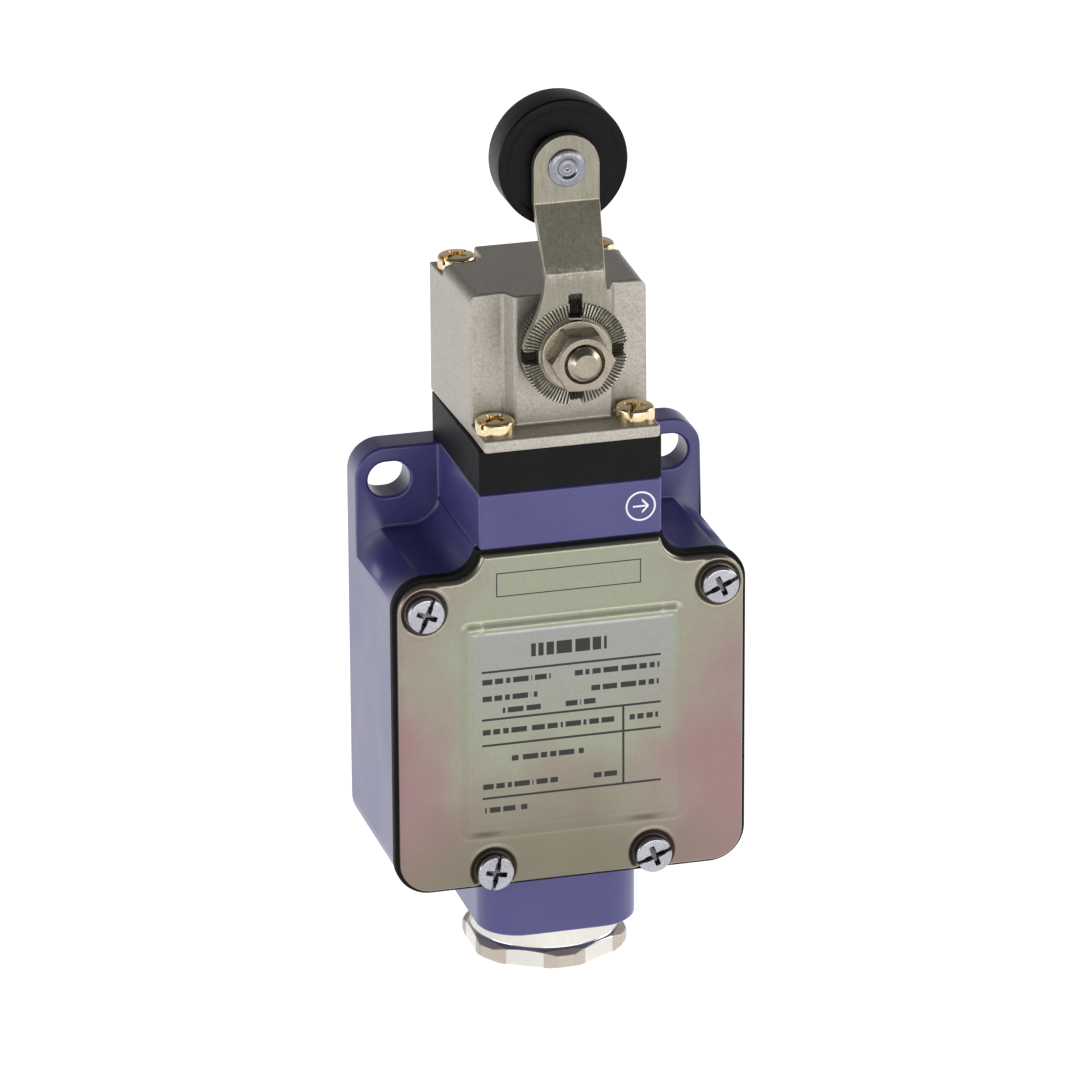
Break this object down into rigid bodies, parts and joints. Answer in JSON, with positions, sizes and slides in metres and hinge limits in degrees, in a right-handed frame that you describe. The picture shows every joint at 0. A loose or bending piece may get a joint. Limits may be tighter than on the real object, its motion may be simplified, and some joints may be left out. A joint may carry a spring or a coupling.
{
  "type": "limit switch",
  "caption": "Roller-lever limit switch with a die-cast casing, a flat screwed cover, a rotary head and a bottom cable gland.",
  "frame": {"origin": "midway between the two fixing slots, on the flat mounting face at the back", "axes": "+X across the switch, along the line of the slots; +Y out of the back, into the mounting surface; +Z from the cable gland up to the roller"},
  "size_m": [0.0528, 0.0371, 0.1341],
  "materials": {
    "casing_paint": "satin blue-violet paint on die-cast alloy",
    "cover_steel": "passivated zinc on pressed steel, with a yellow and pink sheen",
    "gasket_rubber": "matt black",
    "screw_silver": "bright zinc",
    "screw_gold": "bright yellow zinc",
    "gland_nickel": "turned and nickel plated, with satin flats",
    "collar_plastic": "fine-grained black",
    "head_metal": "grainy satin nickel-grey",
    "lever_steel": "satin pressed steel",
    "hub_steel": "dark serrated steel",
    "shaft_steel": "turned steel",
    "roller_plastic": "smooth black nylon",
    "seal_rubber": "dark grey rubber",
    "bush_bronze": "sintered bronze",
    "guide_plastic": "ivory nylon",
    "block_plastic": "light grey moulding",
    "carrier_plastic": "red moulding",
    "contact_brass": "bright",
    "spring_steel": "drawn wire"
  },
  "bodies": {
    "switch_body": {"casing": "casing_paint", "cover_gasket": "gasket_rubber", "front_cover": "cover_steel", "cover_screws": "screw_silver", "gland_nut": "gland_nickel", "gland_washer": "screw_silver", "gland_seal": "seal_rubber", "head_collar": "collar_plastic", "head_housing": "head_metal", "front_head_screws": "screw_gold", "rear_head_screws": "screw_gold", "plunger_guide": "guide_plastic", "plunger_seal": "seal_rubber", "shaft_bush": "bush_bronze", "contact_block": "block_plastic", "contact_block_screws": "screw_silver", "closed_contacts": "contact_brass", "open_contacts": "contact_brass", "terminal_clamps": "screw_silver", "terminal_screws": "screw_silver", "earth_clamp": "screw_silver", "earth_screw": "screw_silver", "return_spring": "spring_steel"},
    "lever": {"operating_shaft": "shaft_steel", "shaft_seal": "seal_rubber", "serrated_hub": "hub_steel", "lever_arm": "lever_steel", "lever_washer": "shaft_steel", "lever_nut": "shaft_steel", "roller_axle": "lever_steel"},
    "roller": {"roller": "roller_plastic"},
    "plunger": {"plunger": "shaft_steel"},
    "moving_contacts": {"contact_carrier": "carrier_plastic", "contact_bridge": "contact_brass", "bridge_spring": "spring_steel"}
  },
  "joints": [
    {"name": "lever_rotation", "type": "hinge", "parent": "switch_body", "child": "lever", "pos_m": [0, -0.0245, 0.0262], "axis": [0, 1, 0], "range_deg": [-70, 70], "stiffness_Nm_per_rad": 0.1},
    {"name": "roller_spin", "type": "hinge", "parent": "lever", "child": "roller", "pos_m": [0, -0.0222, 0.0525], "axis": [0, 1, 0], "continuous": true},
    {"name": "plunger_slide", "type": "slide", "parent": "switch_body", "child": "plunger", "axis": [0, 0, 1], "range_m": [-0.0025, 0], "stiffness_N_per_m": 1500, "springref_m": 0.003, "deforming": ["return_spring"]},
    {"name": "contact_slide", "type": "slide", "parent": "switch_body", "child": "moving_contacts", "axis": [0, 0, 1], "range_m": [-0.0025, 0]}
  ],
  "couplings": [
    {"joint": "contact_slide", "follows": "plunger_slide", "ratio": 1}
  ]
}
